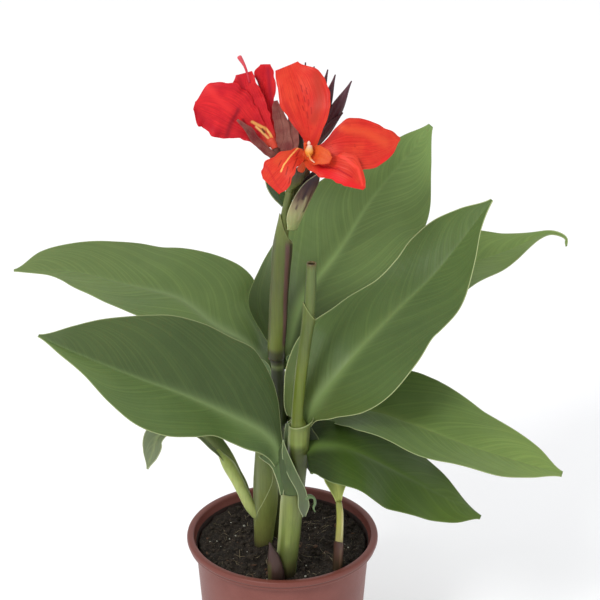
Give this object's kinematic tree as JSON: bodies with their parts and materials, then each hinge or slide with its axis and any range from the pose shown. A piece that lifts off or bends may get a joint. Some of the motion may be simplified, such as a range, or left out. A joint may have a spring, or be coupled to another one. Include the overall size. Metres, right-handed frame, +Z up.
{
  "type": "potted canna lily",
  "caption": "Potted canna lily with thick sheathed stems, large pointed leaves, orange-red and crimson blooms and dark buds, in a terracotta-coloured plastic grower pot.",
  "frame": {"origin": "centre of the pot's bottom face, on the surface it stands on", "axes": "+Z up; -Y towards the front, where the blooms face; +X to the right as seen from the front"},
  "size_m": [0.4895, 0.2998, 0.5876],
  "materials": {
    "terracotta_plastic": "moulded, satin",
    "peat": "crumbly, damp",
    "stem_green": "smooth, satin, finely striped",
    "shoot_brown_green": "smooth, satin",
    "bud_purple": "smooth, satin",
    "rolled_leaf_green": "smooth, satin",
    "leaf_green": "satin, finely veined",
    "leaf_dark_green": "satin, finely veined",
    "young_leaf_green": "satin",
    "bract_green": "satin",
    "bract_pale": "satin",
    "axis_brown_green": "satin",
    "petal_orange_red": "soft, thin, translucent",
    "stamen_yellow": "soft, thin",
    "petal_maroon": "soft",
    "petal_crimson": "soft, thin, translucent"
  },
  "bodies": {
    "root": {"pot": "terracotta_plastic", "soil": "peat", "stem_front": "stem_green", "stem_flowering": "stem_green", "stem_left": "stem_green", "shoot_right": "shoot_brown_green", "basal_bud": "bud_purple", "rolled_leaf": "rolled_leaf_green", "leaf_front_left": "leaf_green", "leaf_back_left": "leaf_green", "leaf_front_right": "leaf_green", "leaf_right_long": "leaf_green", "leaf_tall_back": "leaf_green", "leaf_low_right": "leaf_dark_green", "leaf_back_right": "leaf_green", "leaf_small_left": "leaf_green", "young_leaf_right": "young_leaf_green", "peduncle_bract": "bract_green", "clasping_bract": "bract_pale", "green_bract": "bract_green", "flower_axis": "axis_brown_green", "front_bloom_petals": "petal_orange_red", "front_bloom_stamens": "stamen_yellow", "back_bloom_tube": "petal_maroon", "back_bloom_petals": "petal_crimson", "flower_buds": "bud_purple"}
  },
  "joints": []
}
